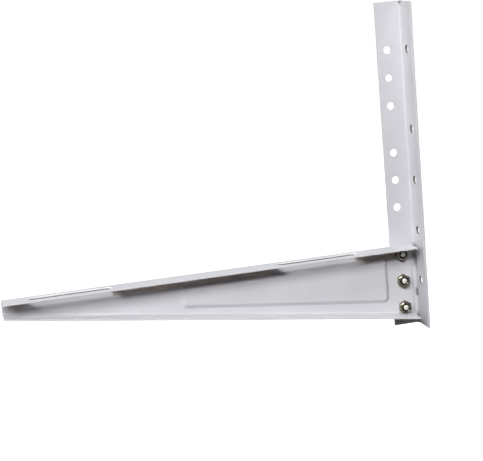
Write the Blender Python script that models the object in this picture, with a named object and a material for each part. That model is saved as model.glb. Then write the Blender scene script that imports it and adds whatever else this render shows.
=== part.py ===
"""Wall bracket for the outdoor unit of an air conditioner, one hand of a left and right pair.

A folded steel angle stands on the wall. A pressed channel arm, deep at the wall and shallow at
its tip, lies inside the angle and is held to the angle's web leg by three flange bolts and nuts.

Metres, +Z up. The wall is the plane X = 0 and the arm reaches towards -X. Z = 0 is the seat,
the arm's upper face, and Y = 0 is the middle of the leg that lies on the wall.
"""

import math

import bmesh
import bpy
from mathutils import Vector

MM = 0.001

# Clearances
SEAT_GAP = 0.3 * MM
BOLT_HOLE_CLEARANCE = 0.7 * MM
THREAD_CLEARANCE = 0.3 * MM
NUT_TO_FLANGE = 0.55 * MM
ARM_TO_WALL_LEG = 6.1 * MM

# Upright angle
UPRIGHT_SHEET = 2.5 * MM
UPRIGHT_BEND = 2.2 * MM
WEB_LEG_WIDTH = 31 * MM
WALL_LEG_WIDTH = 32.9 * MM
TOP_MARGIN = 52 * MM
BOTTOM_MARGIN = 21.3 * MM

# Bolt holes in the web leg, in equal groups from the arm's bolts upward
HOLE_LINE = 19.4 * MM
HOLE_PITCH = 30.6 * MM
HOLES_IN_GROUP = 3
HOLE_GROUPS = 3
GROUP_GAP = 52.4 * MM

# Fixing holes in the wall leg: a row from the arm's middle bolt upward, and one at the top
WALL_HOLE_DIAMETER = 9.5 * MM
WALL_HOLES_IN_ROW = 4

# Channel arm
ARM_SHEET = 1.6 * MM
ARM_BEND = 1.4 * MM
ARM_REACH = 465 * MM
UPPER_FLANGE_WIDTH = 26.1 * MM
LOWER_FLANGE_WIDTH = 24.2 * MM
ARM_TIP_HEIGHT = 17.8 * MM

# Slots for the feet of the outdoor unit, in the arm's top flange
FOOT_SLOT_LENGTH = 90 * MM
FOOT_SLOT_WIDTH = 10 * MM
FOOT_SLOT_LINE = 14 * MM
INNER_SLOT_CENTRE = 120.7 * MM
OUTER_SLOT_TO_TIP = 26.5 * MM

# Stiffening panel pressed into the arm's web, towards the flanges, deepest at its root end
PANEL_ROOT_DEPTH = 2.8 * MM
PANEL_TIP_DEPTH = 1.6 * MM
PANEL_SLOPE_WIDTH = 5 * MM
PANEL_TIP_SLOPE_WIDTH = 9 * MM
PANEL_EASE = 0.2
PANEL_CORNER = 7 * MM
PANEL_ROOT_END = 36 * MM
PANEL_TIP_END = 276.5 * MM
PANEL_TOP_MARGIN = 12.9 * MM
PANEL_ROOT_MARGIN = 13 * MM
PANEL_TIP_MARGIN = 7.1 * MM

# Flange bolt
BOLT_DIAMETER = 8 * MM
BOLT_LENGTH = 12 * MM
BOLT_END_CHAMFER = 1 * MM
BOLT_FLANGE_DIAMETER = 18.5 * MM
BOLT_FLANGE_EDGE = 1.1 * MM
BOLT_FLANGE_RISE = 1.5 * MM
HEAD_ACROSS_FLATS = 13 * MM
HEAD_HEIGHT = 7.6 * MM
HEAD_DISH_DIAMETER = 10 * MM
HEAD_DISH_DEPTH = 1.15 * MM
HEAD_DISH_FLOOR_DIAMETER = 4 * MM
HEAD_DISH_WAIST_DIAMETER = 7.6 * MM
HEAD_DISH_WAIST_DEPTH = 0.92 * MM

# Hexagon nut
NUT_ACROSS_FLATS = 13 * MM
NUT_HEIGHT = 6.5 * MM
NUT_COUNTERSINK = 0.8 * MM
CHAMFER_ANGLE = math.radians(30)
CHAMFER_FLAT_SHARE = 0.88

# Colours and sheen
PAINT_COLOUR = (0.62, 0.62, 0.64)
PAINT_ROUGHNESS = 0.4
ZINC_COLOUR = (0.38, 0.32, 0.21)
ZINC_ROUGHNESS = 0.3

# How finely round shapes are cut
BEND_STEPS = 6
CORNER_STEPS = 6
SLOPE_STEPS = 6
ROUND_SIDES = 32
SHARP_ANGLE = math.radians(30)
CUTTER_OVERRUN = 1 * MM

# Sizes that follow from the ones above
WEB_OUTER_Y = WALL_LEG_WIDTH / 2
WEB_INNER_Y = WEB_OUTER_Y - UPRIGHT_SHEET
WALL_LEG_EDGE_Y = WEB_OUTER_Y - WALL_LEG_WIDTH
BOLT_HOLE_RADIUS = (BOLT_DIAMETER + BOLT_HOLE_CLEARANCE) / 2
NUT_CORNER_RADIUS = NUT_ACROSS_FLATS / math.sqrt(3)

ARM_OUTER_Y = WEB_INNER_Y - SEAT_GAP
ARM_INNER_Y = ARM_OUTER_Y - ARM_SHEET
UPPER_EDGE_Y = ARM_OUTER_Y - UPPER_FLANGE_WIDTH
LOWER_EDGE_Y = ARM_OUTER_Y - LOWER_FLANGE_WIDTH
ARM_ROOT_X = -(UPRIGHT_SHEET + ARM_TO_WALL_LEG)
ARM_BEND_OUTER = ARM_BEND + ARM_SHEET
OUTER_SLOT_CENTRE = ARM_REACH - OUTER_SLOT_TO_TIP - FOOT_SLOT_LENGTH / 2

# The nuts of the first and last bolt just clear the flanges above and below them
FIRST_BOLT_DROP = ARM_SHEET + NUT_TO_FLANGE + NUT_CORNER_RADIUS
BOLT_HEIGHTS = [-FIRST_BOLT_DROP - i * HOLE_PITCH for i in range(HOLES_IN_GROUP)]
HEIGHT_AT_BOLTS = -BOLT_HEIGHTS[-1] + FIRST_BOLT_DROP
ARM_TAPER = (HEIGHT_AT_BOLTS - ARM_TIP_HEIGHT) / (ARM_REACH - HOLE_LINE)

GROUP_STEP = (HOLES_IN_GROUP - 1) * HOLE_PITCH + GROUP_GAP
HOLE_HEIGHTS = [z + group * GROUP_STEP for group in range(HOLE_GROUPS) for z in BOLT_HEIGHTS]
WALL_HOLE_HEIGHTS = [BOLT_HEIGHTS[1] + i * GROUP_STEP / 2 for i in range(WALL_HOLES_IN_ROW)]
WALL_HOLE_HEIGHTS.append(max(HOLE_HEIGHTS))
UPRIGHT_TOP = max(HOLE_HEIGHTS) + TOP_MARGIN
UPRIGHT_BOTTOM = min(HOLE_HEIGHTS) - BOTTOM_MARGIN


def arm_height(x):
    """Depth of the arm from its seat to its underside, at this X."""
    return ARM_TIP_HEIGHT + ARM_TAPER * (ARM_REACH + x)


def clear_scene():
    for obj in list(bpy.data.objects):
        bpy.data.objects.remove(obj, do_unlink=True)


def make_material(name, colour, metallic, roughness):
    material = bpy.data.materials.new(name)
    material.use_nodes = True
    shader = material.node_tree.nodes["Principled BSDF"]
    shader.inputs["Base Color"].default_value = (*colour, 1)
    shader.inputs["Metallic"].default_value = metallic
    shader.inputs["Roughness"].default_value = roughness
    return material


def arc(centre, radius, start, end, steps):
    """Points of an arc in a plane, from one angle in degrees to another, both ends included."""
    angles = [math.radians(start + (end - start) * i / steps) for i in range(steps + 1)]
    return [(centre[0] + radius * math.cos(a), centre[1] + radius * math.sin(a)) for a in angles]


def add_loft(bm, rings):
    """Joins rings of equal length side by side and closes both ends."""
    loops = [[bm.verts.new(point) for point in ring] for ring in rings]
    count = len(loops[0])
    for low, high in zip(loops, loops[1:]):
        for i in range(count):
            j = (i + 1) % count
            bm.faces.new((low[i], low[j], high[j], high[i]))
    bm.faces.new(reversed(loops[0]))
    bm.faces.new(loops[-1])


def shade_round(mesh):
    mesh.shade_smooth()
    mesh.set_sharp_from_angle(angle=SHARP_ANGLE)


def make_object(name, bm, material=None):
    """An object of a finished bmesh, with its faces turned outward."""
    bmesh.ops.recalc_face_normals(bm, faces=bm.faces)
    mesh = bpy.data.meshes.new(name)
    bm.to_mesh(mesh)
    bm.free()
    if material:
        mesh.materials.append(material)
    shade_round(mesh)
    obj = bpy.data.objects.new(name, mesh)
    bpy.context.scene.collection.objects.link(obj)
    return obj


def loft_object(name, *lofts, material=None):
    bm = bmesh.new()
    for rings in lofts:
        add_loft(bm, rings)
    return make_object(name, bm, material)


def as_helper(obj):
    """Keeps an object that only shapes another one out of the finished part."""
    obj.hide_render = True
    obj.display_type = "WIRE"
    return obj


def add_boolean(obj, operation, other):
    modifier = obj.modifiers.new(other.name, "BOOLEAN")
    modifier.operation = operation
    modifier.solver = "EXACT"
    modifier.object = other


def keep_flats_flat(obj):
    """Shades the folds and round walls smooth without tilting the large flat faces beside them."""
    modifier = obj.modifiers.new("face_weighted_normals", "WEIGHTED_NORMAL")
    modifier.keep_sharp = True


def circle(centre, radius):
    return arc(centre, radius, 0, 360, ROUND_SIDES)[:-1]


def slot_outline(centre, length, width):
    """A slot with round ends, its length along the plane's first axis."""
    straight = (length - width) / 2
    sides = ROUND_SIDES // 2
    right = arc((centre[0] + straight, centre[1]), width / 2, -90, 90, sides)
    left = arc((centre[0] - straight, centre[1]), width / 2, 90, 270, sides)
    return right + left


def drilled_along(axis, outline, low, high):
    """Rings of a cutter that runs along one axis. The outline lies in the other two, in order."""
    def place(point, depth):
        values = list(point)
        values.insert("XYZ".index(axis), depth)
        return Vector(values)

    depths = (low - CUTTER_OVERRUN, high + CUTTER_OVERRUN)
    return [[place(point, depth) for point in outline] for depth in depths]


def build_upright(material):
    """The folded angle: web leg behind, wall leg at the right, with their holes."""
    centre = (-UPRIGHT_SHEET - UPRIGHT_BEND, WEB_INNER_Y - UPRIGHT_BEND)
    profile = [(-WEB_LEG_WIDTH, WEB_OUTER_Y)]
    profile += arc(centre, UPRIGHT_BEND + UPRIGHT_SHEET, 90, 0, BEND_STEPS)
    profile += [(0, WALL_LEG_EDGE_Y), (-UPRIGHT_SHEET, WALL_LEG_EDGE_Y)]
    profile += arc(centre, UPRIGHT_BEND, 0, 90, BEND_STEPS)
    profile += [(-WEB_LEG_WIDTH, WEB_INNER_Y)]
    rings = [[(x, y, z) for x, y in profile] for z in (UPRIGHT_BOTTOM, UPRIGHT_TOP)]
    upright = loft_object("upright_angle", rings, material=material)

    bolt_holes = [
        drilled_along("Y", circle((-HOLE_LINE, z), BOLT_HOLE_RADIUS), WEB_INNER_Y, WEB_OUTER_Y)
        for z in HOLE_HEIGHTS
    ]
    add_boolean(upright, "DIFFERENCE", as_helper(loft_object("web_leg_hole_cutter", *bolt_holes)))

    wall_holes = [
        drilled_along("X", circle((0, z), WALL_HOLE_DIAMETER / 2), -UPRIGHT_SHEET, 0)
        for z in WALL_HOLE_HEIGHTS
    ]
    add_boolean(upright, "DIFFERENCE", as_helper(loft_object("wall_leg_hole_cutter", *wall_holes)))
    keep_flats_flat(upright)


def channel_section(x):
    """The arm's folded section at this X, round its outside and back along its inside."""
    drop = arm_height(x) - ARM_BEND_OUTER
    upper = (ARM_OUTER_Y - ARM_BEND_OUTER, -ARM_BEND_OUTER)
    lower = (upper[0], -drop)
    underside = -arm_height(x)
    section = [(UPPER_EDGE_Y, 0)]
    section += arc(upper, ARM_BEND_OUTER, 90, 0, BEND_STEPS)
    section += arc(lower, ARM_BEND_OUTER, 0, -90, BEND_STEPS)
    section += [(LOWER_EDGE_Y, underside), (LOWER_EDGE_Y, underside + ARM_SHEET)]
    section += arc(lower, ARM_BEND, -90, 0, BEND_STEPS)
    section += arc(upper, ARM_BEND, 0, 90, BEND_STEPS)
    section += [(UPPER_EDGE_Y, -ARM_SHEET)]
    return [(x, y, z) for y, z in section]


def along_panel(x, at_tip, at_root):
    """A value at this X that changes evenly from the panel's tip end to its root end."""
    share = (x + PANEL_TIP_END) / (PANEL_TIP_END - PANEL_ROOT_END)
    return at_tip + (at_root - at_tip) * share


def panel_outline(share, first_inset):
    """The pressed panel's outline at a share of its slope, with corners that keep their centres."""
    inset = first_inset + PANEL_SLOPE_WIDTH * share
    root = -PANEL_ROOT_END
    tip = -PANEL_TIP_END + (PANEL_TIP_SLOPE_WIDTH - PANEL_SLOPE_WIDTH) * share
    corners = [
        Vector((root, -PANEL_TOP_MARGIN)),
        Vector((tip, -PANEL_TOP_MARGIN)),
        Vector((tip, along_panel(tip, PANEL_TIP_MARGIN, PANEL_ROOT_MARGIN) - arm_height(tip))),
        Vector((root, PANEL_ROOT_MARGIN - arm_height(root))),
    ]
    outline = []
    for i, corner in enumerate(corners):
        before = (corners[i - 1] - corner).normalized()
        after = (corners[(i + 1) % 4] - corner).normalized()
        half = before.angle(after) / 2
        centre = corner + (before + after).normalized() * PANEL_CORNER / math.sin(half)
        tangent = PANEL_CORNER / math.tan(half)
        start = (corner + before * tangent - centre).normalized()
        end = (corner + after * tangent - centre).normalized()
        sweep = start.angle(end)
        for step in range(CORNER_STEPS + 1):
            turn = step / CORNER_STEPS
            blend = start * math.sin((1 - turn) * sweep) + end * math.sin(turn * sweep)
            outline.append(centre + blend / math.sin(sweep) * (PANEL_CORNER - inset))
    return outline


def eased(share):
    """Rises from 0 to 1 on a straight slope that is rounded at both ends."""
    straight = 1 - PANEL_EASE
    if share < PANEL_EASE:
        return share**2 / (2 * PANEL_EASE * straight)
    if share > straight:
        return 1 - eased(1 - share)
    return (share - PANEL_EASE / 2) / straight


def panel_loft(face_y, first_inset):
    """A raised panel whose edge slopes up from the face at face_y, towards -Y."""
    foot = panel_outline(0, first_inset)
    rings = [[(x, face_y + CUTTER_OVERRUN, z) for x, z in foot]]
    for step in range(SLOPE_STEPS + 1):
        share = step / SLOPE_STEPS
        rings.append([
            (x, face_y - eased(share) * along_panel(x, PANEL_TIP_DEPTH, PANEL_ROOT_DEPTH), z)
            for x, z in panel_outline(share, first_inset)
        ])
    return rings


def build_arm(material):
    """The channel arm: tapered web, two flanges, pressed panel, foot slots and bolt holes."""
    sections = [channel_section(-ARM_REACH), channel_section(ARM_ROOT_X)]
    arm = loft_object("arm_channel", sections, material=material)

    # The hollow side of the panel is drawn in, so that the sheet keeps its thickness on the slope
    slope = math.atan(PANEL_ROOT_DEPTH / PANEL_SLOPE_WIDTH)
    hollow_inset = ARM_SHEET * math.tan(slope / 2)
    raised = as_helper(loft_object("panel_raised_side", panel_loft(ARM_INNER_Y, 0)))
    hollow = as_helper(loft_object("panel_hollow_side", panel_loft(ARM_OUTER_Y, hollow_inset)))
    add_boolean(arm, "UNION", raised)
    add_boolean(arm, "DIFFERENCE", hollow)

    slot_y = ARM_OUTER_Y - FOOT_SLOT_LINE
    foot_slots = [
        drilled_along(
            "Z", slot_outline((-x, slot_y), FOOT_SLOT_LENGTH, FOOT_SLOT_WIDTH), -ARM_SHEET, 0
        )
        for x in (INNER_SLOT_CENTRE, OUTER_SLOT_CENTRE)
    ]
    add_boolean(arm, "DIFFERENCE", as_helper(loft_object("foot_slot_cutter", *foot_slots)))

    holes = [
        drilled_along("Y", circle((-HOLE_LINE, z), BOLT_HOLE_RADIUS), ARM_INNER_Y, ARM_OUTER_Y)
        for z in BOLT_HEIGHTS
    ]
    add_boolean(arm, "DIFFERENCE", as_helper(loft_object("arm_hole_cutter", *holes)))
    keep_flats_flat(arm)


def turned(profile):
    """Rings of a turned shape about +Z, from (radius, height) pairs in order of height."""
    return [[(x, y, z) for x, y in circle((0, 0), radius)] for radius, z in profile]


def hexagon(across_flats, low, high):
    """Rings of a hexagonal prism about +Z, with corners at +Y and -Y."""
    ring = arc((0, 0), across_flats / math.sqrt(3), 90, 450, 6)[:-1]
    return [[(x, y, z) for x, y in ring] for z in (low, high)]


def chamfer_envelope(across_flats, low, high, both_ends):
    """A turned blank that takes the corners off a hexagon's end faces."""
    face_radius = CHAMFER_FLAT_SHARE * across_flats / 2
    wide_radius = across_flats / math.sqrt(3) + CUTTER_OVERRUN
    fall = (wide_radius - face_radius) * math.tan(CHAMFER_ANGLE)
    profile = [(face_radius, low), (wide_radius, low + fall)]
    if not both_ends:
        profile = [(wide_radius, low - CUTTER_OVERRUN)]
    return turned(profile + [(wide_radius, high - fall), (face_radius, high)])


def shared_mesh(obj, name):
    """The object's finished shape as one mesh, which several objects can use."""
    graph = bpy.context.evaluated_depsgraph_get()
    mesh = bpy.data.meshes.new_from_object(obj.evaluated_get(graph))
    mesh.name = name
    as_helper(obj)
    return mesh


def bolt_mesh(material):
    """A flange bolt about +Z: its seat at Z = 0, its shank below, its dished head above."""
    shank = (BOLT_DIAMETER - THREAD_CLEARANCE) / 2
    flange_foot = HEAD_ACROSS_FLATS / 2
    body = turned([
        (shank - BOLT_END_CHAMFER, -BOLT_LENGTH),
        (shank, -BOLT_LENGTH + BOLT_END_CHAMFER),
        (shank, 0),
        (BOLT_FLANGE_DIAMETER / 2, 0),
        (BOLT_FLANGE_DIAMETER / 2, BOLT_FLANGE_EDGE),
        (flange_foot, BOLT_FLANGE_EDGE + BOLT_FLANGE_RISE),
    ])
    dish = turned([
        (HEAD_DISH_FLOOR_DIAMETER / 2, HEAD_HEIGHT - HEAD_DISH_DEPTH),
        (HEAD_DISH_WAIST_DIAMETER / 2, HEAD_HEIGHT - HEAD_DISH_WAIST_DEPTH),
        (HEAD_DISH_DIAMETER / 2, HEAD_HEIGHT),
        (HEAD_DISH_DIAMETER / 2, HEAD_HEIGHT + CUTTER_OVERRUN),
    ])
    head_low = BOLT_FLANGE_EDGE / 2
    head = hexagon(HEAD_ACROSS_FLATS, head_low, HEAD_HEIGHT)
    bolt = loft_object("flange_bolt", head, material=material)
    envelope = chamfer_envelope(HEAD_ACROSS_FLATS, head_low, HEAD_HEIGHT, both_ends=False)
    add_boolean(bolt, "INTERSECT", as_helper(loft_object("head_chamfer_blank", envelope)))
    add_boolean(bolt, "UNION", as_helper(loft_object("bolt_shank_and_flange", body)))
    add_boolean(bolt, "DIFFERENCE", as_helper(loft_object("head_dish_cutter", dish)))
    return shared_mesh(bolt, "flange_bolt")


def nut_mesh(material):
    """A hexagon nut about +Z, its seat at Z = 0, chamfered and countersunk at both ends."""
    bore = (BOLT_DIAMETER + THREAD_CLEARANCE) / 2
    nut = loft_object("hex_nut", hexagon(NUT_ACROSS_FLATS, 0, NUT_HEIGHT), material=material)
    envelope = chamfer_envelope(NUT_ACROSS_FLATS, 0, NUT_HEIGHT, both_ends=True)
    bore_cutter = turned([
        (bore + NUT_COUNTERSINK + CUTTER_OVERRUN, -CUTTER_OVERRUN),
        (bore, NUT_COUNTERSINK),
        (bore, NUT_HEIGHT - NUT_COUNTERSINK),
        (bore + NUT_COUNTERSINK + CUTTER_OVERRUN, NUT_HEIGHT + CUTTER_OVERRUN),
    ])
    add_boolean(nut, "INTERSECT", as_helper(loft_object("nut_chamfer_blank", envelope)))
    add_boolean(nut, "DIFFERENCE", as_helper(loft_object("nut_bore_cutter", bore_cutter)))
    return shared_mesh(nut, "hex_nut")


def place_fastener(name, mesh, y, height, towards):
    """Puts a fastener on a bolt's axis, with its +Z turned to +Y or -Y."""
    obj = bpy.data.objects.new(name, mesh)
    obj.location = (-HOLE_LINE, y, height)
    obj.rotation_euler = (-math.pi / 2 * towards, 0, 0)
    bpy.context.scene.collection.objects.link(obj)
    return obj


def build():
    clear_scene()
    build_upright(make_material("upright_powder_coat", PAINT_COLOUR, 0, PAINT_ROUGHNESS))
    build_arm(make_material("arm_powder_coat", PAINT_COLOUR, 0, PAINT_ROUGHNESS))
    bolt = bolt_mesh(make_material("bolt_yellow_zinc", ZINC_COLOUR, 1, ZINC_ROUGHNESS))
    nut = nut_mesh(make_material("nut_yellow_zinc", ZINC_COLOUR, 1, ZINC_ROUGHNESS))
    for place, height in zip(("upper", "middle", "lower"), BOLT_HEIGHTS):
        place_fastener(f"bolt_{place}", bolt, WEB_OUTER_Y + SEAT_GAP, height, 1)
        place_fastener(f"nut_{place}", nut, ARM_INNER_Y - SEAT_GAP, height, -1)


build()
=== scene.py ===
"""The dressed bracket: finer sheet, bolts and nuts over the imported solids, their finishes, studio and camera.

Metres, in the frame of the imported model: the wall is X = 0, the seat is Z = 0, and the arm reaches
towards -X.
"""

import math

import bmesh
import bpy
from mathutils import Matrix, Vector


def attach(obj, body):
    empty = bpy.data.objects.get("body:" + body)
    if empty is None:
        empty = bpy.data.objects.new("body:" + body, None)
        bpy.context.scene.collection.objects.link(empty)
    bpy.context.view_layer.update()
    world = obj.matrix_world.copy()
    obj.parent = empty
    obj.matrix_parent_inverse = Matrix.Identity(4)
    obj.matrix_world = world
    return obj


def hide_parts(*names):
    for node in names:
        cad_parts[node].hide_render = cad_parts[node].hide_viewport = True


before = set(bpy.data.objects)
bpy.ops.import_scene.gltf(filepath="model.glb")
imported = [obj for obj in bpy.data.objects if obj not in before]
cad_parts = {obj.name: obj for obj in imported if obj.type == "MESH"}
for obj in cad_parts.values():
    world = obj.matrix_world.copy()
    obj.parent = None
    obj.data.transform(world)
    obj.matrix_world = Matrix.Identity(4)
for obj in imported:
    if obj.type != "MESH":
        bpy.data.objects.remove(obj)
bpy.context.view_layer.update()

MM = 0.001

# Sizes of the solids
SEAT_GAP = 0.3 * MM
BOLT_HOLE_CLEARANCE = 0.7 * MM
THREAD_CLEARANCE = 0.3 * MM
UPRIGHT_SHEET = 2.5 * MM
UPRIGHT_BEND = 2.2 * MM
WEB_LEG_WIDTH = 31 * MM
WALL_LEG_WIDTH = 32.9 * MM
TOP_MARGIN = 52 * MM
BOTTOM_MARGIN = 21.3 * MM
HOLE_LINE = 19.4 * MM
HOLE_PITCH = 30.6 * MM
HOLES_IN_GROUP = 3
HOLE_GROUPS = 3
GROUP_GAP = 52.4 * MM
WALL_HOLE_DIAMETER = 9.5 * MM
WALL_HOLES_IN_ROW = 4

ARM_SHEET = 1.6 * MM
ARM_BEND = 1.4 * MM
ARM_REACH = 465 * MM
ARM_TIP_HEIGHT = 17.8 * MM
ARM_TO_WALL_LEG = 6.1 * MM
UPPER_FLANGE_WIDTH = 26.1 * MM
LOWER_FLANGE_WIDTH = 24.2 * MM
NUT_TO_FLANGE = 0.55 * MM
FOOT_SLOT_LENGTH = 90 * MM
FOOT_SLOT_WIDTH = 10 * MM
FOOT_SLOT_LINE = 14 * MM
INNER_SLOT_CENTRE = 120.7 * MM
OUTER_SLOT_TO_TIP = 26.5 * MM
PANEL_ROOT_DEPTH = 2.8 * MM
PANEL_TIP_DEPTH = 1.6 * MM
PANEL_SLOPE_WIDTH = 5 * MM
PANEL_TIP_SLOPE_WIDTH = 9 * MM
PANEL_EASE = 0.2
PANEL_CORNER = 7 * MM
PANEL_ROOT_END = 36 * MM
PANEL_TIP_END = 276.5 * MM
PANEL_TOP_MARGIN = 12.9 * MM
PANEL_ROOT_MARGIN = 13 * MM
PANEL_TIP_MARGIN = 7.1 * MM

BOLT_DIAMETER = 8 * MM
BOLT_LENGTH = 12 * MM
BOLT_END_CHAMFER = 1 * MM
BOLT_FLANGE_DIAMETER = 18.5 * MM
BOLT_FLANGE_EDGE = 1.1 * MM
BOLT_FLANGE_RISE = 1.5 * MM
HEAD_ACROSS_FLATS = 13 * MM
HEAD_HEIGHT = 7.6 * MM
NUT_ACROSS_FLATS = 13 * MM
NUT_HEIGHT = 6.5 * MM
NUT_COUNTERSINK = 0.8 * MM
CHAMFER_ANGLE = math.radians(30)
CHAMFER_FLAT_SHARE = 0.88

# Small forms that the solids leave out or make plainer
THREAD_PITCH = 1.25 * MM
THREAD_DEPTH = 0.65 * MM
THREAD_FLANK_SHARE = 0.86
BOLT_END_DOME = 0.7 * MM
FLANGE_SEAT_CHAMFER = 0.25 * MM
FLANGE_RIM_CHAMFER_WIDTH = 0.3 * MM
FLANGE_RIM_CHAMFER_HEIGHT = 0.35 * MM
FLANGE_KNEE_FROM_HEAD = 1 * MM
FLANGE_KNEE_SHARE = 0.6
FLANGE_NECK_FROM_HEAD = 0.3 * MM
FLANGE_INSIDE_HEAD = 1 * MM
FLANGE_ABOVE_NECK = 0.5 * MM
UPRIGHT_EDGE_RADIUS = 0.3 * MM
ARM_EDGE_RADIUS = 0.18 * MM
BOLT_EDGE_RADIUS = 0.22 * MM
NUT_EDGE_RADIUS = 0.18 * MM

# The dish in a bolt's head, as radii and depths in millimetres
HEAD_DISH = ((0.8, 1.15), (2, 1.12), (3.1, 1), (4, 0.78), (4.6, 0.4), (5, 0))

# How each bolt's head is turned about its axis, in degrees, from the upper bolt down
HEAD_SPINS = (9, -14, 21)

# How finely round shapes are made, and from which angle up an edge is rounded
BEND_STEPS = 16
CORNER_STEPS = 14
SLOPE_STEPS = 14
ROUND_SIDES = 72
THREAD_ROWS_PER_TURN = 10
BOLT_END_DOME_STEPS = 8
EDGE_SEGMENTS = 3
EDGE_FROM_ANGLE = math.radians(28)
NORMAL_WEIGHT = 80

# How far a cutter runs past what it cuts, how wide a closed sliver is, and how near a repainted face lies
OVERRUN = 1 * MM
SHEET_SLIVER = 0.02 * MM
FASTENER_SLIVER = 0.06 * MM
FACE_TOLERANCE = 0.01 * MM
HOLE_TOLERANCE = 0.02 * MM
RIM_TOLERANCE = 0.1 * MM

WEB_OUTER_Y = WALL_LEG_WIDTH / 2
WEB_INNER_Y = WEB_OUTER_Y - UPRIGHT_SHEET
WALL_LEG_EDGE_Y = WEB_OUTER_Y - WALL_LEG_WIDTH
ARM_OUTER_Y = WEB_INNER_Y - SEAT_GAP
ARM_INNER_Y = ARM_OUTER_Y - ARM_SHEET
UPPER_EDGE_Y = ARM_OUTER_Y - UPPER_FLANGE_WIDTH
LOWER_EDGE_Y = ARM_OUTER_Y - LOWER_FLANGE_WIDTH
FOOT_SLOT_Y = ARM_OUTER_Y - FOOT_SLOT_LINE
ARM_ROOT_X = -(UPRIGHT_SHEET + ARM_TO_WALL_LEG)
ARM_BEND_OUTER = ARM_BEND + ARM_SHEET
BOLT_HOLE_RADIUS = (BOLT_DIAMETER + BOLT_HOLE_CLEARANCE) / 2
WALL_HOLE_RADIUS = WALL_HOLE_DIAMETER / 2
FOOT_SLOT_CENTRES = (INNER_SLOT_CENTRE, ARM_REACH - OUTER_SLOT_TO_TIP - FOOT_SLOT_LENGTH / 2)

FIRST_BOLT_DROP = ARM_SHEET + NUT_TO_FLANGE + NUT_ACROSS_FLATS / math.sqrt(3)
BOLT_HEIGHTS = [-FIRST_BOLT_DROP - i * HOLE_PITCH for i in range(HOLES_IN_GROUP)]
ARM_TAPER = (FIRST_BOLT_DROP - BOLT_HEIGHTS[-1] - ARM_TIP_HEIGHT) / (ARM_REACH - HOLE_LINE)
GROUP_STEP = (HOLES_IN_GROUP - 1) * HOLE_PITCH + GROUP_GAP
HOLE_HEIGHTS = [z + i * GROUP_STEP for i in range(HOLE_GROUPS) for z in BOLT_HEIGHTS]
WALL_HOLE_HEIGHTS = [BOLT_HEIGHTS[1] + i * GROUP_STEP / 2 for i in range(WALL_HOLES_IN_ROW)]
WALL_HOLE_HEIGHTS.append(max(HOLE_HEIGHTS))
UPRIGHT_TOP = max(HOLE_HEIGHTS) + TOP_MARGIN
UPRIGHT_BOTTOM = min(HOLE_HEIGHTS) - BOTTOM_MARGIN


# Mesh tools


def arc(centre, radius, start, end, steps):
    """Points of an arc, from one angle in degrees to another, both ends included."""
    angles = [math.radians(start + (end - start) * i / steps) for i in range(steps + 1)]
    return [(centre[0] + radius * math.cos(a), centre[1] + radius * math.sin(a)) for a in angles]


def circle(centre, radius):
    return arc(centre, radius, 0, 360, ROUND_SIDES)[:-1]


def slot_outline(centre, length, width):
    straight = (length - width) / 2
    sides = ROUND_SIDES // 2
    right = arc((centre[0] + straight, centre[1]), width / 2, -90, 90, sides)
    left = arc((centre[0] - straight, centre[1]), width / 2, 90, 270, sides)
    return right + left


def drilled_along(axis, outline, low, high):
    """Rings of a cutter that runs along one axis. The outline lies in the other two, in order."""
    def place(point, depth):
        values = list(point)
        values.insert("XYZ".index(axis), depth)
        return Vector(values)

    return [[place(point, depth) for point in outline] for depth in (low - OVERRUN, high + OVERRUN)]


def mesh_object(name, bm):
    """An object with smooth shading from a mesh being built, its faces turned outwards."""
    bmesh.ops.recalc_face_normals(bm, faces=bm.faces)
    mesh = bpy.data.meshes.new(name)
    bm.to_mesh(mesh)
    bm.free()
    mesh.shade_smooth()
    obj = bpy.data.objects.new(name, mesh)
    bpy.context.scene.collection.objects.link(obj)
    return obj


def loft_object(name, *lofts):
    """A closed solid through rings of equal length, or several such solids in one object."""
    bm = bmesh.new()
    for rings in lofts:
        loops = [[bm.verts.new(point) for point in ring] for ring in rings]
        count = len(loops[0])
        for low, high in zip(loops, loops[1:]):
            for i in range(count):
                j = (i + 1) % count
                bm.faces.new((low[i], low[j], high[j], high[i]))
        bm.faces.new(reversed(loops[0]))
        bm.faces.new(loops[-1])
    return mesh_object(name, bm)


def combine(obj, operation, other, solver="EXACT"):
    """Adds a cut or a join with a second object, to be applied later, and returns that object."""
    modifier = obj.modifiers.new(other.name, "BOOLEAN")
    modifier.operation = operation
    modifier.solver = solver
    modifier.object = other
    return other


def apply_all(obj):
    graph = bpy.context.evaluated_depsgraph_get()
    mesh = bpy.data.meshes.new_from_object(obj.evaluated_get(graph), depsgraph=graph)
    obj.modifiers.clear()
    obj.data = mesh


def weld(mesh, sliver):
    """Closes the slivers that a cut leaves, which would hold back the rounding."""
    bm = bmesh.new()
    bm.from_mesh(mesh)
    bmesh.ops.remove_doubles(bm, verts=bm.verts, dist=sliver)
    bmesh.ops.dissolve_degenerate(bm, edges=bm.edges, dist=sliver)
    bm.to_mesh(mesh)
    bm.free()


def finish_solid(obj, helpers, radius, sliver, materials):
    """Applies the cuts, rounds every sharp edge in the last of the materials and removes the helpers."""
    for material in materials:
        obj.data.materials.append(material)
    apply_all(obj)
    weld(obj.data, sliver)
    bevel = obj.modifiers.new("rounded_edges", "BEVEL")
    bevel.width = radius
    bevel.segments = EDGE_SEGMENTS
    bevel.limit_method = "ANGLE"
    bevel.angle_limit = EDGE_FROM_ANGLE
    bevel.miter_outer = "MITER_ARC"
    # The rounded edges take the last material; on the sheets it is the lighter edge paint, with a painted
    # highlight
    bevel.material = len(materials) - 1
    normals = obj.modifiers.new("face_weighted_normals", "WEIGHTED_NORMAL")
    normals.weight = NORMAL_WEIGHT
    apply_all(obj)
    for helper in helpers:
        bpy.data.objects.remove(helper, do_unlink=True)


def repaint(obj, slot, inside):
    """Gives the faces whose middle satisfies a test to another of the object's materials."""
    for face in obj.data.polygons:
        if inside(face.center):
            face.material_index = slot


# Upright


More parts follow.
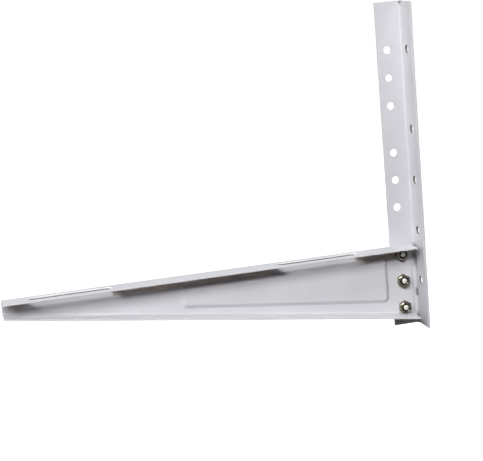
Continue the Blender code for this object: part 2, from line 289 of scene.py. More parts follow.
def build_upright(coat, edge, hole):
    """The folded angle, with its bolt holes and its wall holes."""
    centre = (-UPRIGHT_SHEET - UPRIGHT_BEND, WEB_INNER_Y - UPRIGHT_BEND)
    profile = [(-WEB_LEG_WIDTH, WEB_OUTER_Y)]
    profile += arc(centre, UPRIGHT_BEND + UPRIGHT_SHEET, 90, 0, BEND_STEPS)
    profile += [(0, WALL_LEG_EDGE_Y), (-UPRIGHT_SHEET, WALL_LEG_EDGE_Y)]
    profile += arc(centre, UPRIGHT_BEND, 0, 90, BEND_STEPS)
    profile += [(-WEB_LEG_WIDTH, WEB_INNER_Y)]
    rings = [[(x, y, z) for x, y in profile] for z in (UPRIGHT_BOTTOM, UPRIGHT_TOP)]
    upright = loft_object("upright", rings)
    bolt_holes = [
        drilled_along("Y", circle((-HOLE_LINE, z), BOLT_HOLE_RADIUS), WEB_INNER_Y, WEB_OUTER_Y)
        for z in HOLE_HEIGHTS
    ]
    wall_holes = [
        drilled_along("X", circle((0, z), WALL_HOLE_RADIUS), -UPRIGHT_SHEET, 0)
        for z in WALL_HOLE_HEIGHTS
    ]
    helpers = [
        combine(upright, "DIFFERENCE", loft_object("web_leg_holes", *bolt_holes)),
        combine(upright, "DIFFERENCE", loft_object("wall_leg_holes", *wall_holes)),
    ]
    finish_solid(upright, helpers, UPRIGHT_EDGE_RADIUS, SHEET_SLIVER, [coat, edge])

    def in_wall_hole(middle):
        reach = WALL_HOLE_RADIUS + HOLE_TOLERANCE
        return any(math.hypot(middle.y, middle.z - z) < reach for z in WALL_HOLE_HEIGHTS)

    # Painted shade: the wall holes' inner walls get the dark paint
    upright.data.materials.append(hole)
    repaint(upright, 2, in_wall_hole)
    return upright


# Arm


def arm_height(x):
    return ARM_TIP_HEIGHT + ARM_TAPER * (ARM_REACH + x)


def channel_section(x):
    """The arm's folded section at this X, round its outside and back along its inside."""
    upper = (ARM_OUTER_Y - ARM_BEND_OUTER, -ARM_BEND_OUTER)
    lower = (upper[0], ARM_BEND_OUTER - arm_height(x))
    underside = -arm_height(x)
    section = [(UPPER_EDGE_Y, 0)]
    section += arc(upper, ARM_BEND_OUTER, 90, 0, BEND_STEPS)
    section += arc(lower, ARM_BEND_OUTER, 0, -90, BEND_STEPS)
    section += [(LOWER_EDGE_Y, underside), (LOWER_EDGE_Y, underside + ARM_SHEET)]
    section += arc(lower, ARM_BEND, -90, 0, BEND_STEPS)
    section += arc(upper, ARM_BEND, 0, 90, BEND_STEPS)
    section += [(UPPER_EDGE_Y, -ARM_SHEET)]
    return [(x, y, z) for y, z in section]


def along_panel(x, at_tip, at_root):
    """A value at this X that changes evenly from the panel's tip end to its root end."""
    share = (x + PANEL_TIP_END) / (PANEL_TIP_END - PANEL_ROOT_END)
    return at_tip + (at_root - at_tip) * share


def panel_outline(share, first_inset):
    """The pressed panel's outline at a share of its slope, with corners that keep their centres."""
    inset = first_inset + PANEL_SLOPE_WIDTH * share
    root = -PANEL_ROOT_END
    tip = -PANEL_TIP_END + (PANEL_TIP_SLOPE_WIDTH - PANEL_SLOPE_WIDTH) * share
    corners = [
        Vector((root, -PANEL_TOP_MARGIN)),
        Vector((tip, -PANEL_TOP_MARGIN)),
        Vector((tip, along_panel(tip, PANEL_TIP_MARGIN, PANEL_ROOT_MARGIN) - arm_height(tip))),
        Vector((root, PANEL_ROOT_MARGIN - arm_height(root))),
    ]
    outline = []
    for i, corner in enumerate(corners):
        before = (corners[i - 1] - corner).normalized()
        after = (corners[(i + 1) % 4] - corner).normalized()
        half = before.angle(after) / 2
        centre = corner + (before + after).normalized() * PANEL_CORNER / math.sin(half)
        tangent = PANEL_CORNER / math.tan(half)
        start = (corner + before * tangent - centre).normalized()
        end = (corner + after * tangent - centre).normalized()
        sweep = start.angle(end)
        for step in range(CORNER_STEPS + 1):
            turn = step / CORNER_STEPS
            blend = start * math.sin((1 - turn) * sweep) + end * math.sin(turn * sweep)
            outline.append(centre + blend / math.sin(sweep) * (PANEL_CORNER - inset))
    return outline


def eased(share):
    """Rises from 0 to 1 on a straight slope that is rounded at both ends."""
    straight = 1 - PANEL_EASE
    if share < PANEL_EASE:
        return share**2 / (2 * PANEL_EASE * straight)
    if share > straight:
        return 1 - eased(1 - share)
    return (share - PANEL_EASE / 2) / straight


def panel_loft(face_y, first_inset):
    """A raised panel whose edge slopes up from the face at face_y, towards -Y."""
    foot = panel_outline(0, first_inset)
    rings = [[(x, face_y + OVERRUN, z) for x, z in foot]]
    for step in range(SLOPE_STEPS + 1):
        share = step / SLOPE_STEPS
        rings.append([
            (x, face_y - eased(share) * along_panel(x, PANEL_TIP_DEPTH, PANEL_ROOT_DEPTH), z)
            for x, z in panel_outline(share, first_inset)
        ])
    return rings


def build_arm(coat, edge, slot):
    """The tapered channel, with its pressed panel, its foot slots and its bolt holes."""
    arm = loft_object("arm", [channel_section(-ARM_REACH), channel_section(ARM_ROOT_X)])
    slope = math.atan(PANEL_ROOT_DEPTH / PANEL_SLOPE_WIDTH)
    hollow_inset = ARM_SHEET * math.tan(slope / 2)
    slot_outlines = [
        slot_outline((-x, FOOT_SLOT_Y), FOOT_SLOT_LENGTH, FOOT_SLOT_WIDTH) for x in FOOT_SLOT_CENTRES
    ]
    foot_slots = [drilled_along("Z", outline, -ARM_SHEET, 0) for outline in slot_outlines]
    holes = [
        drilled_along("Y", circle((-HOLE_LINE, z), BOLT_HOLE_RADIUS), ARM_INNER_Y, ARM_OUTER_Y)
        for z in BOLT_HEIGHTS
    ]
    helpers = [
        combine(arm, "UNION", loft_object("panel_raised_side", panel_loft(ARM_INNER_Y, 0))),
        combine(arm, "DIFFERENCE", loft_object("panel_hollow_side", panel_loft(ARM_OUTER_Y, hollow_inset))),
        combine(arm, "DIFFERENCE", loft_object("foot_slots", *foot_slots)),
        combine(arm, "DIFFERENCE", loft_object("bolt_holes", *holes)),
    ]
    finish_solid(arm, helpers, ARM_EDGE_RADIUS, SHEET_SLIVER, [coat, edge])

    def on_lip(middle):
        return min(abs(middle.y - UPPER_EDGE_Y), abs(middle.y - LOWER_EDGE_Y)) < FACE_TOLERANCE

    def in_slot(middle):
        beside = abs(middle.y - FOOT_SLOT_Y) < FOOT_SLOT_WIDTH / 2 + FACE_TOLERANCE
        return beside and -ARM_SHEET < middle.z < -FACE_TOLERANCE

    # The lips get the lighter edge paint, worn and with a painted highlight; the foot slots' walls get the pale
    # paint, painted light
    arm.data.materials.append(slot)
    repaint(arm, 1, on_lip)
    repaint(arm, 2, in_slot)
    return arm


# Fasteners, each made about +Z with its seat at Z = 0


def turned(profile):
    """Rings of a turned form, with no corner in line with a hexagon's."""
    half_step = 180 / ROUND_SIDES
    return [
        [(x, y, z) for x, y in arc((0, 0), radius, half_step, 360 + half_step, ROUND_SIDES)[:-1]]
        for radius, z in profile
    ]


def hexagon(across_flats, low, high):
    ring = arc((0, 0), across_flats / math.sqrt(3), 90, 450, 6)[:-1]
    return [[(x, y, z) for x, y in ring] for z in (low, high)]


def chamfer_blank(across_flats, low, high, both_ends):
    """A turned blank that takes the corners off a hexagon's end faces."""
    face_radius = CHAMFER_FLAT_SHARE * across_flats / 2
    wide_radius = across_flats / math.sqrt(3) + OVERRUN
    fall = (wide_radius - face_radius) * math.tan(CHAMFER_ANGLE)
    profile = [(face_radius, low), (wide_radius, low + fall)]
    if not both_ends:
        profile = [(wide_radius, low - OVERRUN)]
    return turned(profile + [(wide_radius, high - fall), (face_radius, high)])


def threaded_rod(radius, low, high):
    """Rings of a rod with a helical thread, chamfered and domed at its low end."""
    rows = round((high - low) / THREAD_PITCH * THREAD_ROWS_PER_TURN)
    end_radius = radius - BOLT_END_CHAMFER
    rings = []
    for step in range(1, BOLT_END_DOME_STEPS):
        rise = math.radians(90 * step / BOLT_END_DOME_STEPS)
        outline = circle((0, 0), end_radius * math.sin(rise))
        z = low - BOLT_END_DOME * math.cos(rise)
        rings.append([(x, y, z) for x, y in outline])
    for row in range(rows + 1):
        z = low + (high - low) * row / rows
        ring = []
        for side in range(ROUND_SIDES):
            turn = side / ROUND_SIDES
            phase = (z / THREAD_PITCH - turn) % 1
            flank = min(abs(phase - 0.5) * 2 / THREAD_FLANK_SHARE, 1)
            crest = radius - THREAD_DEPTH * flank
            r = min(crest, end_radius + (z - low))
            a = turn * 2 * math.pi
            ring.append((r * math.cos(a), r * math.sin(a), z))
        rings.append(ring)
    return rings


def bolt_flange():
    """Rings of the round flange, from its seat up the slope and into the head."""
    rim = BOLT_FLANGE_DIAMETER / 2
    head = HEAD_ACROSS_FLATS / 2
    neck_z = BOLT_FLANGE_EDGE + BOLT_FLANGE_RISE
    return turned([
        (rim - FLANGE_SEAT_CHAMFER, 0),
        (rim, FLANGE_SEAT_CHAMFER),
        (rim, BOLT_FLANGE_EDGE - FLANGE_RIM_CHAMFER_HEIGHT),
        (rim - FLANGE_RIM_CHAMFER_WIDTH, BOLT_FLANGE_EDGE),
        (head + FLANGE_KNEE_FROM_HEAD, BOLT_FLANGE_EDGE + FLANGE_KNEE_SHARE * BOLT_FLANGE_RISE),
        (head + FLANGE_NECK_FROM_HEAD, neck_z),
        (head - FLANGE_INSIDE_HEAD, neck_z + FLANGE_ABOVE_NECK),
    ])


def build_bolt(plate, edge, recess_shade, end_cut_and_highlight):
    """A flange bolt, its threaded rod joined last so that the thread keeps its sharp edges."""
    low = BOLT_FLANGE_EDGE / 2
    end = BOLT_END_DOME - BOLT_LENGTH
    bolt = loft_object("flange_bolt", hexagon(HEAD_ACROSS_FLATS, low, HEAD_HEIGHT))
    blank = chamfer_blank(HEAD_ACROSS_FLATS, low, HEAD_HEIGHT, both_ends=False)
    dish = [(radius * MM, HEAD_HEIGHT - depth * MM) for radius, depth in HEAD_DISH]
    dish.append((dish[-1][0], HEAD_HEIGHT + OVERRUN))
    helpers = [
        combine(bolt, "INTERSECT", loft_object("head_chamfer", blank)),
        combine(bolt, "UNION", loft_object("bolt_flange", bolt_flange())),
        combine(bolt, "DIFFERENCE", loft_object("head_dish", turned(dish))),
    ]
    finish_solid(bolt, helpers, BOLT_EDGE_RADIUS, FASTENER_SLIVER, [plate, edge])
    rod = loft_object("bolt_thread", threaded_rod((BOLT_DIAMETER - THREAD_CLEARANCE) / 2, end, low))
    for material in (recess_shade, end_cut_and_highlight):
        bolt.data.materials.append(material)
    for material in (plate, edge, recess_shade, end_cut_and_highlight):
        rod.data.materials.append(material)
    combine(bolt, "UNION", rod, "MANIFOLD")
    apply_all(bolt)
    bpy.data.objects.remove(rod, do_unlink=True)
    # Below the seat the bolt gets the dark plate: painted shade in the holes and the nut
    repaint(bolt, 2, lambda middle: middle.z < 0)
    # Its end gets the pale plate: bare cut metal and a painted highlight
    repaint(bolt, 3, lambda middle: middle.z < end + FACE_TOLERANCE)
    return bolt


def build_nut(plate, edge, recess_shade):
    """A hexagon nut, chamfered at both ends, with a countersunk plain bore."""
    nut = loft_object("hex_nut", hexagon(NUT_ACROSS_FLATS, 0, NUT_HEIGHT))
    blank = chamfer_blank(NUT_ACROSS_FLATS, 0, NUT_HEIGHT, both_ends=True)
    bore = (BOLT_DIAMETER + THREAD_CLEARANCE) / 2
    bore_cutter = turned([
        (bore + NUT_COUNTERSINK + OVERRUN, -OVERRUN),
        (bore, NUT_COUNTERSINK),
        (bore, NUT_HEIGHT - NUT_COUNTERSINK),
        (bore + NUT_COUNTERSINK + OVERRUN, NUT_HEIGHT + OVERRUN),
    ])
    helpers = [
        combine(nut, "INTERSECT", loft_object("nut_chamfer", blank)),
        combine(nut, "DIFFERENCE", loft_object("nut_bore", bore_cutter)),
    ]
    finish_solid(nut, helpers, NUT_EDGE_RADIUS, FASTENER_SLIVER, [plate, edge])
    nut.data.materials.append(recess_shade)
    # The bore and countersink get the dark plate: painted shade in the recess
    rim = bore + NUT_COUNTERSINK - RIM_TOLERANCE
    repaint(nut, 2, lambda middle: middle.xy.length < rim)
    return nut


def place_fastener(name, source, y, height, towards, spin=0):
    """A copy of a fastener on a bolt's axis, its +Z turned to +Y or -Y and turned about itself."""
    mesh = source.data.copy()
    mesh.transform(Matrix.Rotation(math.radians(spin), 4, "Z"))
    mesh.transform(Matrix.Rotation(-math.pi / 2 * towards, 4, "X"))
    mesh.transform(Matrix.Translation((-HOLE_LINE, y, height)))
    obj = bpy.data.objects.new(name, mesh)
    bpy.context.scene.collection.objects.link(obj)
    return obj


# Node tools


class Nodes:
    """A small helper that adds nodes to the node tree of a material or a world and links them."""

    def __init__(self, tree, shader="Principled BSDF", coords="Object"):
        self.tree = tree
        self.shader = tree.nodes[shader]
        self.coords = tree.nodes.new("ShaderNodeTexCoord").outputs[coords]

    def link(self, a, b):
        self.tree.links.new(a, b)

    def put(self, value, socket):
        if isinstance(value, bpy.types.NodeSocket):
            self.link(value, socket)
        elif isinstance(value, tuple):
            socket.default_value = (*value, 1)
        else:
            socket.default_value = value

    def shade(self, name, value):
        """Sets one of the shader's inputs to a number or links it to another node."""
        self.put(value, self.shader.inputs[name])

    def axis(self, name):
        node = self.tree.nodes.new("ShaderNodeSeparateXYZ")
        self.link(self.coords, node.inputs[0])
        return node.outputs[name]

    def ray(self, kind):
        """1 to rays of one kind and 0 to all others."""
        return self.tree.nodes.new("ShaderNodeLightPath").outputs[kind]

    def scaled(self, scale):
        node = self.tree.nodes.new("ShaderNodeMapping")
        node.inputs["Scale"].default_value = scale
        self.link(self.coords, node.inputs["Vector"])
        return node.outputs["Vector"]

    def noise(self, scale, detail=2, rough=0.5, stretch=None):
        node = self.tree.nodes.new("ShaderNodeTexNoise")
        node.inputs["Scale"].default_value = scale
        node.inputs["Detail"].default_value = detail
        node.inputs["Roughness"].default_value = rough
        self.link(self.scaled(stretch) if stretch else self.coords, node.inputs["Vector"])
        return node.outputs["Fac"]

    def ramp(self, value, *stops):
        """Maps a value through (position, colour) stops; a bare number makes a grey."""
        node = self.tree.nodes.new("ShaderNodeValToRGB")
        elements = node.color_ramp.elements
        while len(elements) < len(stops):
            elements.new(0.5)
        for element, (position, colour) in zip(elements, stops):
            element.position = position
            element.color = (*colour, 1) if isinstance(colour, tuple) else (colour, colour, colour, 1)
        self.link(value, node.inputs["Fac"])
        return node.outputs["Color"]

    def mix(self, kind, factor, a, b):
        node = self.tree.nodes.new("ShaderNodeMix")
        node.data_type = "RGBA"
        node.blend_type = kind
        for socket, value in ((node.inputs["Factor"], factor), (node.inputs["A"], a), (node.inputs["B"], b)):
            self.put(value, socket)
        return node.outputs["Result"]

    def product(self, first, *others):
        for other in others:
            first = self.mix("MULTIPLY", 1, first, other)
        return first

    def map_range(self, value, low, high, to_low, to_high):
        node = self.tree.nodes.new("ShaderNodeMapRange")
        self.link(value, node.inputs["Value"])
        for socket, number in zip(("From Min", "From Max", "To Min", "To Max"), (low, high, to_low, to_high)):
            node.inputs[socket].default_value = number
        return node.outputs["Result"]

    def fade(self, axis, start, full):
        """0 at one place on an axis and 1 at another, even in between and constant past both."""
        return self.map_range(self.axis(axis), start, full, 0, 1)

    def bump(self, height, distance, strength, below=None):
        node = self.tree.nodes.new("ShaderNodeBump")
        node.inputs["Distance"].default_value = distance
        node.inputs["Strength"].default_value = strength
        self.link(height, node.inputs["Height"])
        if below:
            self.link(below, node.inputs["Normal"])
        return node.outputs["Normal"]


def new_material(name):
    material = bpy.data.materials.new(name)
    material.use_nodes = True
    return material, Nodes(material.node_tree)


# Paint

# Each pair of tones is a light one and a dark one, and each pair of roughness a low one and a high one
PAINT_TONES = ((0.565, 0.565, 0.586), (0.535, 0.535, 0.557))
# The rounded edges and the arm's lips are painted lighter: worn edges and a painted highlight along them
EDGE_WEAR_AND_HIGHLIGHT_TONES = ((0.62, 0.62, 0.635), (0.58, 0.58, 0.595))
# The wall holes' inner walls are painted dark: painted shade inside the holes
HOLE_SHADE_TONES = ((0.15, 0.14, 0.13), (0.10, 0.095, 0.09))
# The foot slots' walls are painted pale: painted light where the slot shows shade below it
SLOT_LIGHT_TONES = ((0.82, 0.82, 0.83), (0.77, 0.77, 0.78))
PAINT_ROUGHNESS = (0.33, 0.43)
EDGE_ROUGHNESS = (0.28, 0.38)
HOLE_ROUGHNESS = (0.45, 0.60)
PAINT_IOR = 1.5
ORANGE_PEEL = 0.30
EDGE_PEEL = 0.15
COARSE_PEEL_SHARE = 0.35
FINE_PEEL_DEPTH = 0.06 * MM
COARSE_PEEL_DEPTH = 0.15 * MM
SPECK_STRENGTH = 0.5
SCUFF_STRETCH = (0.35, 1, 1.6)
SCUFF_TONE = (0.51, 0.51, 0.52)
SCUFF_COVER = (0.22, 0.22, 0.22)
SCUFF_ROUGHNESS = (0.12, 0.12, 0.12)

# What each painted shade or darkening leaves of the paint's colour, and the colour of the painted light in the
# foot: in order the shadow under the upper flange, the shadow and shade at the arm's tip, the darkening lower
# on the upright and the shade in its bend
FLANGE_SHADE_TINT = (1.0, 0.79, 0.64)
TIP_SHADE = (0.77, 0.76, 0.765)
TIP_SHADOW = (0.66, 0.63, 0.61)
LOWER_DARKENING = (0.935, 0.935, 0.94)
BEND_SHADE = (0.34, 0.32, 0.31)
FOOT_PAINTED_LIGHT = (0.76, 0.73, 0.71)

# Where each of them lies. A pair runs from the place where it starts to the place where it is full
LOWER_DARKENING_Z = (170 * MM, 60 * MM)
FLANGE_SHADE_Z = (-18 * MM, -7 * MM)
FLANGE_SHADE_PAST_SLOT = (-2 * MM, 10 * MM)
FLANGE_SHADE_END_X = (-460 * MM, -448 * MM)
TIP_SHADOW_X = (-425 * MM, -440 * MM)
TIP_SHADE_X = (-340 * MM, -420 * MM)
SHADE_REACH_FROM_WEB = 6 * MM
FOOT_LIGHT_FADE = 1 * MM
BEND_SHADE_SPILL = 0.2 * MM
BEND_SHADE_FADE = 1 * MM
BEND_SHADE_ON_WALL_LEG = 5 * MM
BEND_SHADE_BELOW_TOP = (5 * MM, 2 * MM)

# How strong the painted shade is along the bend, strongest where the upper flange's and the nuts' shadows fall,
# as heights in millimetres and shares, and the range they lie in
BEND_SHADE_ALONG = (
    (-95, 1.0), (-83, 1.0), (-78, 0.15), (-62, 0.15), (-59, 1.0), (-53.5, 1.0), (-50, 0.15),
    (-29, 0.15), (-20, 0.7), (-3, 1.0), (2, 0.0),
)
BEND_SHADE_HEIGHTS = (-95, 5)


def powder_coat(name, tones, roughness, peel, painted_shading=None):
    """Smooth light powder coat: faint clouds, orange peel, a few scuffs, fine specks and the painted shading
    that a piece adds over them.
    """
    material, n = new_material(name)
    light, dark = tones
    low, high = roughness
    clouds = n.ramp(n.noise(scale=16, detail=4, rough=0.55), (0.35, dark), (0.65, light))
    specks = n.ramp(n.noise(scale=2600, detail=1), (0.24, 0.90), (0.34, 1.0))
    colour = n.mix("MULTIPLY", SPECK_STRENGTH, clouds, specks)
    streaks = n.noise(scale=60, detail=5, rough=0.65, stretch=SCUFF_STRETCH)
    scuffs = n.ramp(streaks, (0.60, 0.0), (0.78, 1.0))
    colour = n.mix("MIX", n.product(scuffs, SCUFF_COVER), colour, SCUFF_TONE)
    if painted_shading:
        colour = painted_shading(n, colour)
    n.shade("Base Color", colour)
    patches = n.ramp(n.noise(scale=34, detail=3), (0.3, low), (0.7, high))
    n.shade("Roughness", n.mix("ADD", 1, patches, n.product(scuffs, SCUFF_ROUGHNESS)))
    n.shade("IOR", PAINT_IOR)
    fine = n.bump(n.noise(scale=950), FINE_PEEL_DEPTH, peel)
    n.shade("Normal", n.bump(n.noise(scale=120), COARSE_PEEL_DEPTH, peel * COARSE_PEEL_SHARE, fine))
    return material


def painted_shading_on_upright(n, colour):
    """Paint darker in patches from above the arm down, painted light inside the foot under it, and painted
    shade in the bend near the arm and at the top.
    """
    bend_x = -UPRIGHT_SHEET - UPRIGHT_BEND
    bend_y = WEB_INNER_Y - UPRIGHT_BEND
    underside = -arm_height(-HOLE_LINE)
    patches = n.ramp(n.noise(scale=30, detail=3), (0.3, 0.8), (0.6, 1.0))
    inside = n.fade("Y", WEB_INNER_Y + UPRIGHT_SHEET / 2, WEB_INNER_Y + UPRIGHT_SHEET / 4)
    # Paint darker in patches towards the bottom
    colour = n.mix("MULTIPLY", n.product(n.fade("Z", *LOWER_DARKENING_Z), patches), colour, LOWER_DARKENING)
    # Painted light: the inside of the foot under the arm, which lies in shade, is painted paler
    foot = n.product(
        n.fade("Z", underside, underside - FOOT_LIGHT_FADE),
        n.fade("X", bend_x, bend_x - UPRIGHT_BEND),
        inside,
    )
    colour = n.mix("MIX", foot, colour, FOOT_PAINTED_LIGHT)
    # Painted shade in the bend: the shadows of the upper flange and the nuts near the arm, and a dark mark at
    # the top
    low, high = BEND_SHADE_HEIGHTS
    stops = [((z - low) / (high - low), share) for z, share in BEND_SHADE_ALONG]
    near_arm = n.ramp(n.fade("Z", low * MM, high * MM), *stops)
    at_top = n.fade("Z", *(UPRIGHT_TOP - below for below in BEND_SHADE_BELOW_TOP))
    in_bend = n.product(
        n.fade("X", bend_x - BEND_SHADE_SPILL, bend_x + BEND_SHADE_FADE),
        n.fade("X", BEND_SHADE_FADE - UPRIGHT_SHEET, BEND_SHADE_SPILL - UPRIGHT_SHEET),
        n.fade("Y", bend_y - BEND_SHADE_ON_WALL_LEG, bend_y),
        n.mix("ADD", 1, near_arm, at_top),
        inside,
    )
    return n.mix("MULTIPLY", in_bend, colour, BEND_SHADE)


def painted_shading_on_arm(n, colour):
    """Inside the web, painted shade: a brownish shadow close under the upper flange but not where light falls
    through its slots, deeper at the tip, and a darker web towards the tip.
    """
    inside = n.product(
        n.fade("Y", ARM_OUTER_Y, ARM_INNER_Y),
        n.fade("Y", ARM_INNER_Y - SHADE_REACH_FROM_WEB, ARM_INNER_Y - PANEL_ROOT_DEPTH),
        n.fade("Z", -ARM_SHEET / 2, -ARM_SHEET),
        n.ramp(n.noise(scale=45, detail=3), (0.3, 0.75), (0.6, 1.0)),
    )
    # Painted shadow of the upper flange on the web, left out where light falls through the foot slots
    painted_shading = n.product(inside, n.fade("Z", *FLANGE_SHADE_Z), n.fade("X", *FLANGE_SHADE_END_X))
    for centre in FOOT_SLOT_CENTRES:
        ends = []
        for side in (-1, 1):
            slot_end = -centre + side * FOOT_SLOT_LENGTH / 2
            ends.append(n.fade("X", *(slot_end + side * past for past in FLANGE_SHADE_PAST_SLOT)))
        painted_shading = n.product(painted_shading, n.mix("ADD", 1, *ends))
    colour = n.mix("MULTIPLY", painted_shading, colour, FLANGE_SHADE_TINT)
    # Painted shadow, deeper at the tip
    colour = n.mix("MULTIPLY", n.product(painted_shading, n.fade("X", *TIP_SHADOW_X)), colour, TIP_SHADOW)
    # Painted shade, darker towards the tip
    return n.mix("MULTIPLY", n.product(inside, n.fade("X", *TIP_SHADE_X)), colour, TIP_SHADE)


# Zinc

# The positions at which the plate drifts from one of a row's four tones to the next, and the rows
ZINC_DRIFT = (0.30, 0.47, 0.60, 0.74)
ZINC_TONES = ((0.15, 0.12, 0.08), (0.29, 0.25, 0.17), (0.22, 0.20, 0.15), (0.21, 0.15, 0.10))
ZINC_WORN = ((0.40, 0.36, 0.28), (0.58, 0.54, 0.45), (0.50, 0.48, 0.42), (0.42, 0.35, 0.26))
# Dark plate for bores, countersinks and the bolt below its seat: painted shade in the recesses
ZINC_SHADE_TONES = ((0.03, 0.025, 0.02), (0.07, 0.06, 0.045), (0.05, 0.045, 0.035), (0.06, 0.045, 0.03))
# Pale plate for the bolt's end: bare cut metal and a painted highlight
ZINC_CUT_AND_HIGHLIGHT = ((0.80, 0.77, 0.66), (0.93, 0.91, 0.82), (0.88, 0.86, 0.78), (0.84, 0.78, 0.68))
ZINC_ROUGHNESS = (0.18, 0.30)
WORN_ROUGHNESS = (0.16, 0.26)
ZINC_SHADE_ROUGHNESS = (0.40, 0.60)
CUT_AND_HIGHLIGHT_ROUGHNESS = (0.38, 0.50)
CUT_AND_HIGHLIGHT_METALLIC = 0.45
GRAIN_STRENGTH = 0.7
COARSE_PIT_DEPTH = 0.05 * MM
COARSE_PIT_STRENGTH = 0.5
FINE_PIT_DEPTH = 0.02 * MM
FINE_PIT_STRENGTH = 0.4


def yellow_zinc(name, tones, roughness, metallic=1):
    """Yellow passivated zinc plate: drifting olive, gold and brown, with a slightly rough surface."""
    material, n = new_material(name)
    low, high = roughness
    drift = n.ramp(n.noise(scale=210, detail=3, rough=0.6), *zip(ZINC_DRIFT, tones))
    grain = n.ramp(n.noise(scale=1500, detail=3), (0.25, 0.80), (0.70, 1.0))
    n.shade("Base Color", n.mix("MULTIPLY", GRAIN_STRENGTH, drift, grain))
    n.shade("Metallic", metallic)
    n.shade("Roughness", n.ramp(n.noise(scale=420, detail=3), (0.3, low), (0.7, high)))
    coarse = n.bump(n.noise(scale=330), COARSE_PIT_DEPTH, COARSE_PIT_STRENGTH)
    n.shade("Normal", n.bump(n.noise(scale=1700), FINE_PIT_DEPTH, FINE_PIT_STRENGTH, coarse))
    return material


# The bracket's pieces

# The upright's and the arm's coats carry the painted light and shade of the functions above
paint = powder_coat("powder_coat", PAINT_TONES, PAINT_ROUGHNESS, ORANGE_PEEL, painted_shading_on_upright)
paint_arm = powder_coat("powder_coat_arm", PAINT_TONES, PAINT_ROUGHNESS, ORANGE_PEEL, painted_shading_on_arm)
# Lighter edge paint: worn edges and a painted highlight
paint_edge_wear_and_highlight = powder_coat("powder_coat_edge_wear_and_highlight", EDGE_WEAR_AND_HIGHLIGHT_TONES, EDGE_ROUGHNESS, EDGE_PEEL)
# Dark paint for the wall holes' inner walls: painted shade
paint_hole_shade = powder_coat("powder_coat_hole_painted_shade", HOLE_SHADE_TONES, HOLE_ROUGHNESS, ORANGE_PEEL)
# Pale paint for the foot slots' walls: painted light
paint_slot_light = powder_coat("powder_coat_slot_painted_light", SLOT_LIGHT_TONES, EDGE_ROUGHNESS, EDGE_PEEL)
zinc = yellow_zinc("yellow_zinc", ZINC_TONES, ZINC_ROUGHNESS)
zinc_edge = yellow_zinc("yellow_zinc_worn", ZINC_WORN, WORN_ROUGHNESS)
# Dark zinc: painted shade in the fasteners' recesses
zinc_recess_shade = yellow_zinc("yellow_zinc_painted_shade", ZINC_SHADE_TONES, ZINC_SHADE_ROUGHNESS)
# Pale zinc for the bolt's end: bare cut metal and a painted highlight
zinc_cut_and_highlight = yellow_zinc("zinc_cut_end_and_highlight", ZINC_CUT_AND_HIGHLIGHT, CUT_AND_HIGHLIGHT_ROUGHNESS, CUT_AND_HIGHLIGHT_METALLIC)

upright = build_upright(paint, paint_edge_wear_and_highlight, paint_hole_shade)
arm = build_arm(paint_arm, paint_edge_wear_and_highlight, paint_slot_light)
bolt = build_bolt(zinc, zinc_edge, zinc_recess_shade, zinc_cut_and_highlight)
nut = build_nut(zinc, zinc_edge, zinc_recess_shade)

pieces = [(upright, "upright_angle", "upright_powder_coat"), (arm, "arm_channel", "arm_powder_coat")]
for place, height, spin in zip(("upper", "middle", "lower"), BOLT_HEIGHTS, HEAD_SPINS):
    head = place_fastener(f"flange_bolt_{place}", bolt, WEB_OUTER_Y + SEAT_GAP, height, 1, spin)
    hex_nut = place_fastener(f"hex_nut_{place}", nut, ARM_INNER_Y - SEAT_GAP, height, -1)
    pieces.append((head, f"bolt_{place}", "bolt_yellow_zinc"))
    pieces.append((hex_nut, f"nut_{place}", "nut_yellow_zinc"))
for source in (bolt, nut):
    bpy.data.objects.remove(source, do_unlink=True)
for piece, node, finish in pieces:
    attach(piece, "root")
    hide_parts(node)


# Studio

AIM = Vector((-0.25, 0, -0.01))
LAMP_COLOUR = (1.0, 1.0, 1.02)

# Each lamp's name, direction of travel, distance, diameter and level
LAMPS = (
    ("front_lamp", (0.24, 1, -0.66), 3, 0.52, 0.70),
    ("key_lamp", (1.06, 1, -0.94), 6, 1.15, 0.31),
    ("high_key_lamp", (0.75, 1, -1), 4, 0.8, 0.36),
    ("top_lamp", (-0.3, 0.3, -1), 4, 1.5, 0.33),
    ("left_lamp", (1, -0.02, -0.35), 4, 0.7, 0.35),
    ("back_lamp", (-1, -0.8, -0.6), 4.5, 2.6, 0.38),
    ("low_back_lamp", (-0.8, -1, 0.15), 3, 0.5, 0.5),
)

FLOOR_HEIGHT = -0.65
FLOOR_RADIUS = 60
FLOOR_SIDES = 96
FLOOR_TONES = ((0.40, 0.40, 0.40), (0.42, 0.42, 0.42))
FLOOR_BOUNCE = (0.05, 0.05, 0.05)
FLOOR_GLOSS = (0.3, 0.3, 0.3)
FLOOR_GLOW = (0.8, 1)
FLOOR_GLOW_REACH = (1.2, 4)
FLOOR_ROUGHNESS = 0.8

WORLD_SEEN = (1, 1, 1)
WORLD_FILL = (0.012, 0.009, 0.007)
WORLD_GLOSS_FRONT = (0.06, 0.055, 0.05)
WORLD_GLOSS_BACK = (0.4, 0.4, 0.4)
WORLD_GLOSS_BACK_FROM = 0.6


def area_lamp(name, direction, distance, diameter, level):
    """A round soft lamp. At level 1 a facing surface renders about as its colour is written."""
    lamp = bpy.data.lights.new(name, "AREA")
    lamp.shape = "DISK"
    lamp.size = diameter
    lamp.energy = level * (math.pi * distance) ** 2
    lamp.color = LAMP_COLOUR
    obj = bpy.data.objects.new(name, lamp)
    travel = Vector(direction).normalized()
    obj.location = AIM - travel * distance
    obj.rotation_euler = travel.to_track_quat("-Z", "Y").to_euler()
    bpy.context.scene.collection.objects.link(obj)


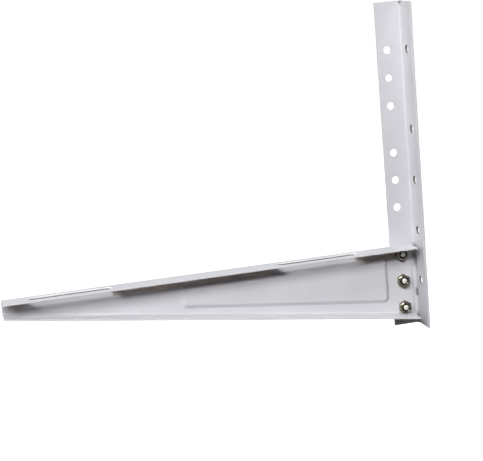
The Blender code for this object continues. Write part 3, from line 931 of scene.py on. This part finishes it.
def build_floor():
    """A pale floor that the camera sees nearly white, with its shadow, and that bounces little light."""
    bm = bmesh.new()
    bmesh.ops.create_circle(bm, cap_ends=True, segments=FLOOR_SIDES, radius=FLOOR_RADIUS)
    floor = mesh_object("floor", bm)
    floor.location.z = FLOOR_HEIGHT
    material, n = new_material("pale_floor")
    dark, light = FLOOR_TONES
    tone = n.ramp(n.noise(scale=3, detail=3), (0.35, dark), (0.65, light))
    n.shade("Base Color", n.mix("MIX", n.ray("Is Camera Ray"), FLOOR_BOUNCE, tone))
    n.shade("Roughness", FLOOR_ROUGHNESS)
    n.shade("Specular IOR Level", 0)
    reach = n.tree.nodes.new("ShaderNodeVectorMath")
    reach.operation = "LENGTH"
    n.link(n.coords, reach.inputs[0])
    glow = n.map_range(reach.outputs["Value"], *FLOOR_GLOW_REACH, *FLOOR_GLOW)
    gloss = n.product(n.ray("Is Glossy Ray"), FLOOR_GLOSS)
    n.shade("Emission Color", n.mix("MIX", n.ray("Is Camera Ray"), gloss, glow))
    n.shade("Emission Strength", 1)
    floor.data.materials.append(material)


def build_world():
    """White to the camera, dark in front and grey behind to glossy rays, and otherwise a faint warm fill."""
    world = bpy.data.worlds.new("studio")
    world.use_nodes = True
    bpy.context.scene.world = world
    n = Nodes(world.node_tree, "Background", "Generated")
    gloss = n.ramp(n.axis("Y"), (0, WORLD_GLOSS_FRONT), (WORLD_GLOSS_BACK_FROM, WORLD_GLOSS_BACK))
    unseen = n.mix("MIX", n.ray("Is Glossy Ray"), WORLD_FILL, gloss)
    n.shade("Color", n.mix("MIX", n.ray("Is Camera Ray"), unseen, WORLD_SEEN))
    n.shade("Strength", 1)


for lamp in LAMPS:
    area_lamp(*lamp)
build_floor()
build_world()


# Camera

CAMERA_AT = Vector((-0.57515, -1.6035, 0.38562))
CAMERA_ANGLES = (78.19224, 4.76393, -14.08858)
CAMERA_SENSOR = 36
CAMERA_LENS = 116.416
CAMERA_CLIP_END = 100

camera = bpy.data.objects.new("camera", bpy.data.cameras.new("camera"))
camera.location = CAMERA_AT
camera.rotation_euler = [math.radians(angle) for angle in CAMERA_ANGLES]
camera.data.sensor_width = CAMERA_SENSOR
camera.data.lens = CAMERA_LENS
camera.data.clip_end = CAMERA_CLIP_END
bpy.context.scene.collection.objects.link(camera)
bpy.context.scene.camera = camera
bpy.context.scene.view_settings.view_transform = "Standard"
